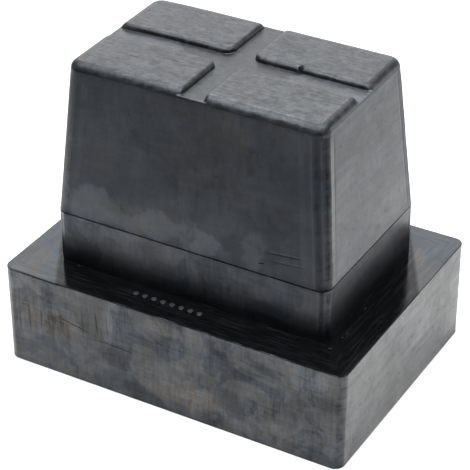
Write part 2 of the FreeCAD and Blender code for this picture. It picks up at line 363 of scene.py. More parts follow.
def quarter_round(corner, arriving, leaving, radius, steps):
    """Stations round a corner: corner less arriving (1 - sine) plus leaving (1 - cosine), times the radius."""
    angle = np.linspace(0, math.pi / 2, steps + 1)[:-1, None]
    return corner + radius * (-arriving * (1 - np.sin(angle)) + leaving * (1 - np.cos(angle)))


def wall_stations(s, top):
    """Sections from the pads' rim down to the underside: half length, half width, corner radius and height."""
    down, out, back = np.array([0, 0, 0, -1.0]), np.array([1.0, 1, 1, 0]), np.array([-1.0, -1, -1, 0])
    line = s.base_height + s.band_height
    rim = np.array([top.half_length, top.half_width, top.rim_reach, top.rim_level])
    foot = np.array([s.band_length / 2 + s.lip, s.band_width / 2 + s.lip, s.foot_corner, line])
    lip_round, slit_back, slit_slope, middle_share = 0.12 * MM, 0.6, 0.08 * MM, 0.02
    lip = rim + (foot - rim) * (rim[3] - line - lip_round) / (rim[3] - line)
    slit = foot - out * (s.lip + s.line_depth)
    band = np.array([s.band_length / 2, s.band_width / 2, s.band_corner, line])
    band_top = band + down * (s.line_height + slit_slope)
    band_foot = np.array([band[0], band[1], band[2], s.base_height])
    edge = np.array([s.block_length / 2, s.block_width / 2, s.base_corner, s.base_height])
    ground = np.array([edge[0], edge[1], edge[2], 0])
    middle = ground * middle_share
    parts = [
        panel(rim, lip, 25, False),
        quarter_round(foot, down, back, lip_round, 4),
        straight(foot + back * lip_round, slit, 2),
        straight(slit, slit + down * s.line_height * slit_back, 1),
        straight(slit + down * s.line_height, band_top, 2),
        panel(band_top, band_foot, 8),
        panel(band_foot, edge + back * s.base_rim, 4),
        quarter_round(edge, out, down, s.base_rim, 4),
        panel(edge + down * s.base_rim, ground - down * s.base_rim, 12),
        quarter_round(ground, down, back, s.base_rim, 4),
        panel(ground + back * s.base_rim, middle, 3),
        middle[None, :],
    ]
    return np.vstack(parts)


def rim_loop(grid):
    """The grid's outline as one closed run of indices, anticlockwise seen from above."""
    index = np.arange(grid.size).reshape(grid.shape)
    return np.concatenate([index[:-1, 0], index[-1, :-1], index[:0:-1, -1], index[0, :0:-1]])


def wall_grid(stations, core_x, core_y, way_x, way_y):
    """Stations carried round the outline: corner centre scaled to the section, plus radius times direction."""
    half_length, half_width, radius, level = (part[:, None] for part in stations.T)
    x = core_x[None, :] * (half_length - radius) + radius * way_x[None, :]
    y = core_y[None, :] * (half_width - radius) + radius * way_y[None, :]
    return x, y, level + 0 * x


def grid_quads(rows, columns, closed=True):
    """Quads between the rows of a grid, which closes on itself along its columns or has two ends."""
    row = np.arange(rows - 1)[:, None] * columns
    column = np.arange(columns if closed else columns - 1)
    here, right = row + column, row + (column + 1) % columns
    return np.stack([here, here + columns, right + columns, right], axis=-1).reshape(-1, 4)


def fan(ring, centre, upward):
    """Triangles between a closed ring of indices and a centre, which face up or down."""
    ahead = np.roll(ring, -1)
    around = (ring, ahead) if upward else (ahead, ring)
    return np.stack([np.full(len(ring), centre), *around], axis=-1)


def new_mesh(name, points, quads, triangles):
    """Mesh object from whole arrays, shaded smooth, at the origin."""
    mesh = bpy.data.meshes.new(name)
    mesh.from_pydata(points.tolist(), [], quads.tolist() + triangles.tolist())
    mesh.shade_smooth()
    mesh.set_sharp_from_angle(angle=math.radians(SMOOTH_ANGLE))
    mesh.update()
    piece = bpy.data.objects.new(name, mesh)
    bpy.context.scene.collection.objects.link(piece)
    return piece


def settle(piece, material):
    """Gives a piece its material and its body."""
    piece.data.materials.append(material)
    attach(piece, BODY)


# Finish

class Signal:
    """An output of a node; sums with it add the nodes that work them out."""

    def __init__(self, graph, socket):
        self.graph, self.socket = graph, socket

    def __add__(self, other):
        return self.graph.math("ADD", self, other)

    def __sub__(self, other):
        return self.graph.math("SUBTRACT", self, other)

    def __rsub__(self, other):
        return self.graph.math("SUBTRACT", other, self)

    def __mul__(self, other):
        return self.graph.math("MULTIPLY", self, other)

    def __abs__(self):
        return self.graph.math("ABSOLUTE", self, 0.0)

    def at_least(self, other):
        """The larger of the two."""
        return self.graph.math("MAXIMUM", self, other)

    def eased(self, low, high, to_low=0.0, to_high=1.0):
        """Eased from one range to another, held at both ends."""
        inputs = [("Value", self), ("From Min", low), ("From Max", high),
                  ("To Min", to_low), ("To Max", to_high)]
        return self.graph.add("ShaderNodeMapRange", inputs, interpolation_type="SMOOTHSTEP")

    def swing(self, spread, amount):
        """A cloudy value turned into a change either way, whole where it is the spread away from 0.5."""
        return self.eased(0.5 - spread, 0.5 + spread, -amount, amount)

    def between(self, a, b):
        """Colour a where this is 0 and b where it is 1."""
        return self.graph.mix(self, a, b)


class Graph:
    """A node tree with one call for each new node."""

    def __init__(self, tree):
        self.tree = tree
        tree.nodes.clear()

    def add(self, kind, inputs=(), output=0, **settings):
        """New node's output; inputs are (socket, value or signal) pairs, settings the node's own values."""
        node = self.tree.nodes.new(kind)
        for name, value in settings.items():
            setattr(node, name, value)
        for socket, value in inputs:
            if isinstance(value, Signal):
                self.tree.links.new(value.socket, node.inputs[socket])
            else:
                node.inputs[socket].default_value = value
        return Signal(self, node.outputs[output])

    def math(self, operation, a, b):
        """One sum of two values."""
        return self.add("ShaderNodeMath", [(0, a), (1, b)], operation=operation)

    def shift(self, operation, vector, socket, value):
        """One sum with a vector."""
        return self.add("ShaderNodeVectorMath", [(0, vector), (socket, value)], operation=operation)

    def place(self, vector, move=(0, 0, 0), turn=(0, 0, 0), scale=(1, 1, 1), kind="POINT"):
        """Vector moved, turned and scaled."""
        inputs = [("Vector", vector), ("Location", move), ("Rotation", turn), ("Scale", scale)]
        return self.add("ShaderNodeMapping", inputs, vector_type=kind)

    def noise(self, vector, scale, detail=3.0, roughness=0.5, warp=0.0, output="Fac"):
        """Cloudy value, 0 to 1."""
        inputs = [("Vector", vector), ("Scale", scale), ("Detail", detail), ("Roughness", roughness),
                  ("Distortion", warp)]
        return self.add("ShaderNodeTexNoise", inputs, output)

    def attribute(self, name):
        """A value that the mesh holds at each point."""
        return self.add("ShaderNodeAttribute", (), "Fac", attribute_name=name)

    def mix(self, share, a, b, blend="MIX"):
        """Colour b laid over a; a plain number stands for a grey."""
        inputs = [(0, share), (6, as_colour(a)), (7, as_colour(b))]
        return self.add("ShaderNodeMix", inputs, 2, data_type="RGBA", blend_type=blend)


def as_colour(value):
    """A signal as it is, a plain number as a grey, three numbers as a colour."""
    if isinstance(value, Signal):
        return value
    return (value, value, value, 1.0) if isinstance(value, float) else (*value, 1.0)


Patch = namedtuple("Patch", "place reach turn strength")
Face = namedtuple("Face", "axis level")

# Where the faces lie that carry marks, in millimetres, with the axis that each looks along
BASE_FRONT = Face(1, -56.5)
BAND_FRONT = Face(1, -39.7)
UPPER_FOOT_FRONT = Face(1, -39.4)
UPPER_LOW_FRONT = Face(1, -39.0)
UPPER_FRONT = Face(1, -37.0)
BASE_END = Face(0, 80.0)
LEDGE_LEVEL = Face(2, 46.0)
PAD_LEVEL = Face(2, 138.5)
# How far a mark reaches before and behind a face that looks along X, Y and Z, in millimetres
REACHES = (6, 6, 2)
# Sense of a mark's turn about X, Y and Z
SENSES = (1, -1, 1)
# Shade of the nick in a pad's rim
NICK = Patch((26.5, 6.0, 137.6), (1.5, 2.1, 3.2), (0, 0, 18), 1.2)


def set_in(pair, axis, value):
    """Three values: a pair, with one more set in for the axis."""
    return (*pair[:axis], value, *pair[axis:])


def on_faces(table):
    """Patches on faces, from marks: across, up, half width, half height, strength, and the turn if any."""
    patches = []
    for (axis, level), marks in table.items():
        for across, up, wide, high, strength, *turn in marks:
            angles = set_in((0, 0), axis, SENSES[axis] * sum(turn))
            place, reach = set_in((across, up), axis, level), set_in((wide, high), axis, REACHES[axis])
            patches.append(Patch(place, reach, angles, strength))
    return patches


LIGHT_MARKS = on_faces({
    BASE_FRONT: (
        (-70, 41, 11, 5, 0.9), (-28, 31, 5, 10, 0.5, 12), (-3, 41, 12, 5, 0.7), (37, 6, 8, 6, 0.7),
        (-61, 13, 17, 7, 0.6), (70, 41, 5, 4, 0.9, 20), (35, 38, 9, 5, 0.5), (8, 11, 24, 7, 0.5, 5),
        (57, 9, 12, 9, 0.6, -40)),
    # On the upper part's foot: painted reflection of the brighter floor near the block, and a painted highlight
    # up the left corner
    UPPER_FOOT_FRONT: (
        (-46, 77, 18, 11, 1.0, 5), (-14, 77, 15, 9, 0.9, -4), (7, 75, 9, 8, 1.0), (31, 78, 6, 12, 0.5, -12),
        (-60, 84, 4, 40, 0.7), (-32, 74, 60, 4, 0.7)),
    BAND_FRONT: ((-32, 66, 10, 4, 0.5), (-8, 64, 8, 4, 0.5), (1, 58, 8, 4, 0.5, 15), (25, 65, 9, 4, 0.5)),
    PAD_LEVEL: (
        (-29.8, -32.5, 3.0, 1.2, 1.0), (48, -30, 10, 4, 0.6, 10), (-44, 20, 12, 6, 0.6, 10),
        (40, 24, 12, 4, 0.6, -8), (18, -30, 9, 3, 0.6), (-18, 28, 8, 3, 0.5, 15)),
    LEDGE_LEVEL: ((52, -53, 16, 3, 1.0, 3),),
    BASE_END: (
        (-40, 34, 10, 5, 0.5, -50), (8, 22, 24, 4, 0.4, 8), (30, 33, 18, 3, 0.4, 5), (52.0, 24, 1.3, 30, 1.2),
        (-44, 26, 18, 26, 0.45))
})
DARK_MARKS = on_faces({
    BASE_FRONT: (
        (-60, 36, 20, 5, 0.9), (-64, 24, 26, 20, 0.8), (46.6, 21, 8, 13, 0.8, -25), (66, 22, 12, 24, 0.7, -12),
        (30, 16, 11, 8, 0.6), (-38, 22, 9, 16, 0.5), (18, 34, 36, 5, 0.5, -3)),
    UPPER_FRONT: ((10, 110, 46, 26, 0.35), (40, 90, 16, 20, 0.4)),
    PAD_LEVEL: ((14, 20, 10, 5, 0.7), (-30, 12, 14, 4, 0.7), (40, -14, 12, 4, 0.6), (-46, -28, 9, 5, 0.6)),
    BASE_END: (
        (-12, 38, 26, 2.6, 0.7, 6), (-25, 24, 16, 3, 0.6, -35), (20, 20, 28, 2.6, 0.6, 8),
        (42, 12, 16, 3, 0.5, 10), (36, 24, 24, 26, 0.4))
})
LINE_MARKS = on_faces({
    BASE_FRONT: (
        (-46, 28, 9.5, 0.5, 0.9, -10), (-25, 24, 12, 0.5, 0.8, -2), (-62, 45.5, 19, 0.45, 1.0),
        (-34, 32, 0.6, 7, 0.7, 4), (-68, 24, 0.7, 9, 0.6, 2), (-62, 26, 0.6, 8, 0.6, -2),
        (-29, 33, 0.6, 8, 0.6, 2), (-52, 27, 0.5, 6, 0.5), (-73, 20, 0.5, 8, 0.6), (-41, 30, 0.5, 9, 0.5, 3)),
    UPPER_LOW_FRONT: ((34, 74.5, 1.8, 0.4, 1.0, 10), (44, 80.6, 13, 0.3, 0.5, 5), (46, 77.2, 12, 0.3, 0.35, 5)),
    PAD_LEVEL: (
        (-35.3, -18.6, 3.6, 0.55, 1.0, 2), (-20, -14, 9, 0.5, 0.5, 3), (-30, -26, 7, 0.3, 0.5, -4),
        (33, -17, 9, 0.3, 0.5, 2), (27, 20, 8, 0.3, 0.5, 3)),
    BASE_END: (
        (7.9, 41.7, 0.35, 1.7, 1.0), (-41, 36, 14, 0.35, 0.8, -48), (-38, 32, 8, 0.3, 0.6, -40),
        (0, 42, 40, 0.3, 0.4, 0.5), (54.4, 24, 0.9, 30, 1.0), (-20, 43.4, 22, 0.5, 0.45, 1),
        (22, 36, 16, 0.5, 0.4, 6), (-8, 29, 18, 0.6, 0.35, -4))
}) + [NICK]
GLINT_MARKS = on_faces({
    PAD_LEVEL: (
        (25.6, -22.3, 4.6, 0.3, 1.0), (-8.0, -31.2, 0.5, 1.8, 1.0, 10), (43, 6.3, 0.5, 1.6, 1.0, 10),
        (-8.5, 8.8, 1.2, 0.4, 0.8, 30), (7.5, -33, 0.4, 2.4, 0.8), (-29.8, -32.5, 2.2, 0.6, 1.0)),
    UPPER_FRONT: ((44, 81.4, 13, 0.4, 1.0, 5), (46, 78, 12, 0.4, 0.8, 5), (-12, 83, 0.5, 5, 0.6, 8)),
    BASE_FRONT: ((-25, 23.2, 12, 0.35, 0.5, -2), (-30.5, 33, 0.4, 8, 0.6, 2))
})
BLUE_MARKS = on_faces({
    BASE_FRONT: (
        (-61, 13, 20, 10, 0.9), (17, 34, 34, 6, 1.0, -3), (30, 17, 12, 8, 0.8), (-60, 36, 20, 5, 0.8)),
    UPPER_FOOT_FRONT: (
        (20, 66, 44, 7, 0.8), (-40, 64, 24, 6, 0.6), (1, 58, 11, 6, 1.0), (-40, 115, 30, 22, 0.7)),
    LEDGE_LEVEL: ((51, -52, 16, 5, 1.0, 3),)
})
BROWN_MARKS = on_faces({
    BASE_FRONT: (
        (-57, 25, 24, 10, 1.0, -5), (-3, 41, 12, 6, 0.8), (8, 11, 24, 8, 1.0, 5), (35, 38, 9, 5, 0.6),
        (50, 8, 14, 9, 0.6)),
    UPPER_FRONT: ((13, 126, 18, 12, 0.55, -20), (2, 112, 12, 14, 0.35, 10), (-20, 78, 34, 5, 0.6))
})
FLECKS = on_faces({
    LEDGE_LEVEL: (
        (-52.5, -40.6, 0.9, 0.45, 1.0), (65.9, -41.3, 1.1, 0.5, 1.0, 30), (66.8, -32.4, 0.9, 0.4, 0.8, 60),
        (65.8, -9.9, 0.4, 1.6, 0.7), (67.3, -29, 0.5, 1.8, 0.5, 20), (12, -41.5, 0.9, 0.4, 0.4))
})


class RubberGraph(Graph):
    """The rubber's nodes, all in millimetres: regions, noises and marks first, then the finish from them."""

    def __init__(self, tree, finish):
        super().__init__(tree)
        self.finish = finish
        coordinates = self.add("ShaderNodeTexCoord", (), "Object")
        self.where = self.place(coordinates, scale=(1 / MM, 1 / MM, 1 / MM))
        axes = self.add("ShaderNodeSeparateXYZ", [(0, self.where)]).socket.node.outputs
        self.x, self.y, self.z = (Signal(self, axis) for axis in axes)
        self.set_regions()
        self.set_noises()
        self.set_marks()

    def set_regions(self):
        """Shares of the block's regions, from the top down to the base, then the ends and the long sides.

        The ledge counts as part of the side that it lies beside. Two slanting edges bound its painted dark
        part, a painted reflection of the block.
        """
        x, y, z = self.x, self.y, self.z
        self.on_top = z.eased(134.6, 136.0)
        self.off_top = z.eased(136.0, 134.6, 0.3, 1.0)
        self.on_ledge = z.eased(45.5, 45.9) * z.eased(46.1, 46.03)
        self.on_band = z.eased(46.03, 46.1) * z.eased(70.5, 69.0)
        self.on_upper = z.eased(69.8, 70.4)
        self.on_base = z.eased(46.2, 45.9)
        self.on_pip = z.eased(46.36, 46.44) * z.eased(46.7, 46.6) * y.eased(-42.5, -43.0)
        off_end = abs(x) - abs(y)
        self.at_end = off_end.eased(23.3, 23.8)
        self.on_long = off_end.eased(27.5, 20.0)
        # The part of the ledge painted dark, a painted reflection of the block
        self.painted_ledge_shade = abs(x + y * 0.571).eased(87.0, 84.8)

    def streaks(self, scale, detail, roughness, warp=0.0, move=(0, 0, 0)):
        """Cloudy value drawn out into streaks by a scale of its own along each axis."""
        return self.noise(self.place(self.where, move, scale=scale), 1.0, detail, roughness, warp)

    def set_noises(self):
        """Clouds, and streaks: along X on the pads, along the nearest edge on the ledge, upright and level."""
        self.along_x = self.streaks((0.15, 1.2, 0.5), 5.0, 0.7, 0.8)
        self.cut_x = self.streaks((0.06, 1.3, 0.3), 4.0, 0.7)
        self.cut = self.at_end.between(self.cut_x, self.streaks((1.3, 0.06, 0.3), 4.0, 0.7))
        self.upright = self.streaks((0.5, 0.5, 0.035), 5.0, 0.66, 0.3)
        self.weave = self.streaks((0.9, 0.9, 0.14), 4.0, 0.65)
        self.across = self.streaks((0.09, 0.09, 0.9), 4.0, 0.65)
        self.level = self.streaks((0.04, 0.04, 0.4), 5.0, 0.62, 0.5)
        self.run = self.streaks((0.3, 0.3, 0.04), 5.0, 0.7, 0.4, (5, 17, 3))
        self.fine = self.streaks((0.8, 1.2, 1.0), 3.0, 0.6, 0.5)
        self.film = self.noise(self.place(self.where, (31, 7, 12), scale=(1, 1, 0.8)), 0.05, 5.0, 0.56, 0.8)
        self.cloud = self.noise(self.where, 0.05, 5.0, 0.6, 0.6)
        self.mottle = self.noise(self.where, 0.30, 6.0, 0.62, 0.4)
        self.grain = self.noise(self.where, 2.2, 3.0, 0.6)

    def patches(self, vector, marks, edge=0.75):
        """Largest of several soft ovals, each easing from its strength in the middle to 0 at its reach."""
        total = None
        for mark in marks:
            turn = [math.radians(angle) for angle in mark.turn]
            inside = self.place(vector, mark.place, turn, mark.reach, "TEXTURE")
            near = self.add("ShaderNodeTexGradient", [("Vector", inside)], "Fac", gradient_type="SPHERICAL")
            value = near.eased(0.0, edge, 0.0, mark.strength)
            total = total.at_least(value) if total else value
        return total

    def set_marks(self):
        """Marks at their places: the soft ones with edges that wander, the lines, glints and flecks sharp."""
        wander = self.noise(self.where, 0.14, 5.0, 0.6, output="Color")
        pushed = self.shift("SUBTRACT", wander, 1, (0.5, 0.5, 0.5))
        soft_place = self.shift("ADD", self.where, 1, self.shift("SCALE", pushed, "Scale", 16.0))
        self.light = self.patches(soft_place, LIGHT_MARKS, 0.36)
        self.dark = self.patches(soft_place, DARK_MARKS, 0.5)
        self.blue = self.patches(soft_place, BLUE_MARKS, 0.45)
        self.brown = self.patches(soft_place, BROWN_MARKS, 0.45)
        self.glint = self.patches(self.where, GLINT_MARKS, 0.6)
        self.fleck = self.patches(self.where, FLECKS)
        # The lines take in the mould line's painted shade
        self.lines = self.patches(self.where, LINE_MARKS, 0.6).at_least(self.mould_line_shade())

    def mould_line_shade(self):
        """Painted shade in the mould line: whole on the ends, broken on the long sides, faint round the upright
        corners.
        """
        broken = self.noise(self.where, 0.22, 4.0, 0.7).eased(0.44, 0.56, 0.05, 1.0)
        faint = (abs(self.x) + abs(self.y)).eased(97.8, 99.3, 1.0, 0.15)
        seam = abs(self.z - 69.78).eased(0.5, 0.3) * (self.at_end.between(broken, 1.0) * faint)
        return seam * self.at_end.between(0.6, 1.3)

    def sheen(self):
        """Sheen of plain rubber, with bluish and brownish films that end in ragged edges, faint on the top."""
        blue = self.blue.at_least(self.film.eased(0.51, 0.54, 0.0, 0.9))
        blue = blue.at_least(self.on_upper * self.on_long.between(0.3, 0.75))
        brown = self.brown.at_least(self.film.eased(0.47, 0.43) * self.on_base.between(0.15, 0.5))
        sheen = (blue * self.off_top).between(self.finish.gloss_plain, self.finish.gloss_blue)
        return (brown * self.off_top).between(sheen, self.finish.gloss_brown)

    def side_tone(self):
        """Tone of the sides over painted shade: clouds, films, runs and streaks, strongest on the base.

        The streaks are quieter on the left end and on the left half of the back. Each face's plain level is
        painted shade, and the upper part is painted darker still, most on the long sides. The ends carry a
        painted highlight, a light line below the mould line. The corners' lines come from the mesh, as painted
        highlights and shade.
        """
        on_long, on_base, on_band = self.on_long, self.on_base, self.on_band
        runs = self.run.eased(0.50, 0.60) * self.noise(self.where, 0.03, 3.0).eased(0.47, 0.60)
        woven = self.weave.swing(0.14, 0.34) + self.across.swing(0.14, 0.26)
        woven = woven * self.noise(self.where, 0.05, 3.0).eased(0.42, 0.60, 0.45, 1.1)
        level = self.level.swing(0.12, 0.5) * on_long.between(1.0, 0.3)
        quieter = (self.x - self.y).eased(-70.0, -30.0, 0.25, 1.0)
        change = self.cloud.swing(0.10, 0.5) + self.film.eased(0.49, 0.52, 0.3, -0.3) - runs * 0.12
        change = change + self.upright.swing(0.12, 0.15) + (woven + level) * quieter
        above = on_long.between(0.32, on_band.between(0.17, 0.27))
        strength = on_base.between(above, on_long.between(0.58, 0.42))
        # Painted shade: a plain level for each face and part
        plain = on_long.between(on_base.between(0.74, 0.60), on_band.between(0.81, 0.73))
        # Painted shade: the upper part darker, most on the long sides
        upper_painted_shade = self.on_upper * on_long.between(0.25, 0.42)
        tone = (change * strength + plain) * (1.0 - upper_painted_shade) + self.light * 0.36 - self.dark * 0.26
        # Painted highlights and shade along the upright corners
        edge = self.attribute("corner_line") * self.mottle.eased(0.36, 0.60, 0.35, 1.0)
        # Painted highlight: a light line below the mould line, on the ends
        lip = abs(self.z - 69.0).eased(0.45, 0.1) * self.at_end
        return tone + edge * 0.62 + lip * 0.5

    def top_tone(self):
        """Tone of the top: scuffed flats, plain groove floors, and rims in painted shade.

        A painted highlight runs as a light line along the rims' brink.
        """
        scuff = self.mottle.swing(0.14, 0.24) + self.along_x.swing(0.14, 0.36) + self.fine.swing(0.14, 0.18)
        scuff = scuff + self.cut_x.eased(0.60, 0.72, 0.0, 0.3) + (self.light - self.dark) * 0.14
        drop = self.attribute("pad_drop")
        on_flat, on_floor = drop.eased(0.14, 0.02), drop.eased(1.8, 2.4)
        # Painted highlight: a light line where the flats break into the rims
        brink = drop.eased(0.004, 0.02) * drop.eased(0.10, 0.04)
        # Painted shade: the rims darker than the flats
        plain = on_floor.between(on_flat.between(0.62, 1.03), 0.97)
        return plain + scuff * on_flat.between(0.4, 1.0) + brink * self.mottle.eased(0.36, 0.60, 0.1, 0.5)

    def ledge_tone(self):
        """Tone of the ledge: bright at its outer corners, nearly black with fine cuts in its painted dark part.

        The dark part is a painted reflection of the block.
        """
        bright = self.cut.eased(0.40, 0.60, 1.0, 1.3) + self.cloud.swing(0.10, 0.08)
        # Painted dark reflection of the block, with lighter cuts
        dark = self.cut.eased(0.50, 0.66, 0.0, 0.6) + self.light * 0.6
        return self.painted_ledge_shade.between(bright, dark)

    def tone(self):
        """Tone of every face, with a painted highlight along the ends' rims, never below 0.

        The lines lower it, the mould line's painted shade among them.
        """
        # Painted highlight along the upper rims of the ends
        rim_painted_highlight = self.z.eased(132.6, 134.4) * self.z.eased(137.2, 135.8) * self.at_end
        tone = self.on_top.between(self.side_tone(), self.top_tone()) * (rim_painted_highlight * 0.7 + 1.0)
        return (self.on_ledge.between(tone, self.ledge_tone()) - self.lines * 0.85).at_least(0.0)

    def body(self):
        """Colour below the sheen: black, with dry haze on the pads and in the ledge's cuts, and worn flecks.

        The glints laid into the haze are painted highlights.
        """
        haze = self.mottle.eased(0.45, 0.75) * (self.on_top * 0.6) + self.light * 0.10
        cuts = self.cut.eased(0.50, 0.66) * self.painted_ledge_shade.between(0.7, 0.3)
        # Painted highlights: the glints, laid into the haze
        haze = self.on_ledge.between(haze, cuts) + self.glint
        body = haze.between(self.finish.black, self.finish.haze)
        return self.fleck.at_least(self.on_pip).between(body, self.finish.worn)

    def roughness(self):
        """Roughness of the sides, the top, the band and the ledge, a little mottled."""
        rough = self.on_top.between(self.finish.side_roughness, self.finish.top_roughness)
        rough = self.on_band.between(rough, self.finish.band_roughness)
        rough = self.on_ledge.between(rough, self.finish.ledge_roughness)
        return rough + self.mottle.eased(0.3, 0.7, -0.03, 0.05)

    def relief(self):
        """Height of the fine streaks and the grain, with the lines sunk in."""
        relief = self.on_top.between(self.upright * 0.6, self.along_x * 1.3)
        relief = self.on_ledge.between(relief, self.cut * 0.8)
        return relief + self.grain * self.on_top.between(0.04, 0.18) - self.lines


def rubber(finish):
    """Black rubber with haze, thin films, flow marks and rubbed tops, and painted highlights and shade."""
    material = bpy.data.materials.new("moulded_rubber")
    material.use_nodes = True
    g = RubberGraph(material.node_tree, finish)
    sheen = g.mix(1.0, g.sheen(), g.tone(), "MULTIPLY")
    bump = g.add("ShaderNodeBump", [("Strength", 0.3), ("Distance", 0.1 * MM), ("Height", g.relief())])
    shader = g.add("ShaderNodeBsdfPrincipled", [
        ("Base Color", g.body()), ("Roughness", g.roughness()), ("IOR", 1.5), ("Specular IOR Level", 0.85),
        ("Specular Tint", sheen), ("Normal", bump)])
    output = g.tree.nodes.new("ShaderNodeOutputMaterial")
    g.tree.links.new(shader.socket, output.inputs["Surface"])
    return material


def shared_rubber(context):
    """The rubber, made once for all pieces."""
    known = bpy.data.materials.get("moulded_rubber")
    return known or rubber(context.scene.rubber_finish)


# Pieces

def across_corner(centre_x, centre_y, turn_x, turn_y, stations):
    """Distance across the nearest upright corner, 0 where the long face ends.

    On the long face it is minus the way to the corner, on the round the angle times the radius, and on the
    short face the quarter round plus the way from it.
    """
    half_length, half_width, radius = (part[:, None] for part in stations.T[:3])
    angle = np.arctan2(np.abs(turn_x), np.abs(turn_y))[None, :]
    tiny = 1e-6
    long_face, short_face = angle < tiny, angle > math.pi / 2 - tiny
    before = (1 - np.abs(centre_x))[None, :] * (half_length - radius)
    after = (1 - np.abs(centre_y))[None, :] * (half_width - radius)
    return radius * angle - before * long_face + after * short_face


def heights(s, z, top=TONE_END):
    """Shares of the upper part, the band and the base at a height, each fading out towards its own edges.

    From top below the block's top down, the upper part's share is whole.
    """
    line = s.base_height + s.band_height
    upper = fade(z, line + 0.5 * MM, line + 3 * MM) * fade(z, s.block_height - 3.8 * MM, s.block_height - top)
    band = fade(z, s.base_height + 0.8 * MM, s.base_height + 3 * MM) * fade(z, line - 0.3 * MM, line - 1 * MM)
    base = fade(z, s.base_height - 0.5 * MM, s.base_height - 2 * MM) * fade(z, 0.5 * MM, 3 * MM)
    return upper, band, base


# Lines across a corner, ridges in the mesh and painted highlights and shade in the tone: strength (light above
# 0, dark below), then place and reach in millimetres
UPPER_LINES = ((0.3, -0.1, 0.35), (-0.25, 1.9, 0.7), (0.6, 3.8, 0.4), (-0.5, 5.7, 0.7), (1.1, 7.8, 0.7),
               (0.2, 9.2, 0.6), (-0.5, 10.7, 0.35))
BAND_LINES = ((0.5, 1.1, 0.35), (-0.5, 2.5, 0.6), (0.8, 3.7, 0.4), (-0.3, 5.0, 0.6), (0.3, 6.6, 0.5),
              (-0.3, 9.0, 0.5))
BASE_LINES = ((-0.45, 1.9, 0.9), (-0.2, -1.0, 1.6), (0.25, 6.5, 0.9))


def bells(across, lines, start=0.0):
    """Sum of a start and of every line's bell over the distance across, times its strength."""
    return sum((strength * bell(across, place * MM, reach * MM) for strength, place, reach in lines), start)


def corner_lines(s, z, across, top=TONE_END):
    """Lines up the corners and one wide strip on the upper part: mould ridges, and painted highlights and
    shade.
    """
    upper, band, base = heights(s, z, top)
    strip = fade(across, -5.8 * MM, -5.3 * MM) * fade(across, -2.7 * MM, -3.1 * MM)
    on_upper = bells(across, UPPER_LINES, 0.16 * strip)
    return upper * on_upper + band * bells(across, BAND_LINES) + base * bells(across, BASE_LINES)


def wall_relief(s, x, y, z, across):
    """How far the sides stand proud of their plain form.

    Slow waves draw every side in a little. Thin ridges and a shallow furrow, as the mould's corners leave them,
    run up each corner, though nothing stands out on the base. The mould line's slit is deep on the ends and
    shallow in places on the long sides and near the corners. The base's right end draws in towards its foot,
    most at its front.
    """
    around = x + 1.3 * y
    upper, _, base = heights(s, z)
    waves = -s.sag * 0.5 * (1 + drift(around, z, 55.0, 1.1)) * (upper + base)
    lines = s.ridge * (1 + 0.3 * drift(z, across, 260.0, 0.3)) * corner_lines(s, z, across, RIDGE_END)
    lines = np.where(z < s.base_height + 0.1 * MM, np.minimum(lines, 0), lines)
    end = (np.abs(x) > s.band_length / 2 - 1 * MM) * 1.0
    slit = bell(z, s.base_height + s.band_height - 0.5 * s.line_height, 0.4 * s.line_height)
    near_corner = bell(across, 3.9 * MM, 3 * MM)
    shallow = np.clip(0.55 + 0.5 * drift(around, 0 * z, 620.0, 0.7) - 0.8 * end + near_corner, 0, 1)
    filled = slit * shallow * (s.line_depth + 0.1 * MM)
    draw = 0.7 * MM
    towards_foot = (1 - z / s.base_height) * (z < s.base_height - 0.1 * MM)
    right_end = fade(x, s.block_length / 2 - 5 * MM, s.block_length / 2 - 1 * MM) * fade(y, 90 * MM, -60 * MM)
    return waves + lines + filled - draw * towards_foot * right_end


def block_points(s):
    """Points, faces and two values a point: the top's grid, then the wall's rows hung from its outline."""
    top = TopShape(s)
    core_x, core_y, way_x, way_y, x, y, z, drop = top.grid()
    cap = np.stack([x, y, z], axis=-1).reshape(-1, 3)
    loop = rim_loop(x)
    stations = wall_stations(s, top)
    centre_x = core_x.reshape(-1)[loop] / top.core_length
    centre_y = core_y.reshape(-1)[loop] / top.core_width
    turn_x, turn_y = way_x.reshape(-1)[loop], way_y.reshape(-1)[loop]
    wx, wy, wz = wall_grid(stations, centre_x, centre_y, turn_x, turn_y)
    across = across_corner(centre_x, centre_y, turn_x, turn_y, stations)
    relief = wall_relief(s, wx, wy, wz, across)
    wx, wy = wx + relief * turn_x, wy + relief * turn_y
    wall = np.stack([wx, wy, wz], axis=-1)[1:].reshape(-1, 3)
    points = np.vstack([cap, wall, [[0, 0, 0]]])
    # The corners' lines as painted highlights and shade, carried to the material
    lines = np.concatenate([np.zeros(len(cap)), corner_lines(s, wz, across)[1:].reshape(-1), [0]])
    wall_drop = 9.0
    drops = np.concatenate([drop.reshape(-1) / MM, np.full(len(wall) + 1, wall_drop)])
    order = np.concatenate([loop, np.arange(len(wall)) + len(cap)])
    quads = np.vstack([grid_quads(*x.shape, closed=False), order[grid_quads(len(stations), len(loop))]])
    closing = fan(order[-len(loop):], len(points) - 1, False)
    return points, quads, closing, {"corner_line": lines, "pad_drop": drops}


class SUPPORTBLOCK_OT_make_block(Operator):
    """Make the moulded block and hide its plain solid"""
    bl_idname = "support_block.make_block"
    bl_label = "Make Block"

    def execute(self, context):
        points, quads, triangles, values = block_points(context.scene.block_sizes)
        piece = new_mesh("rubber_block_moulded", points, quads, triangles)
        for name, value in values.items():
            piece.data.attributes.new(name, "FLOAT", "POINT").data.foreach_set("value", value)
        settle(piece, shared_rubber(context))
        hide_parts(NODE)
        return {"FINISHED"}


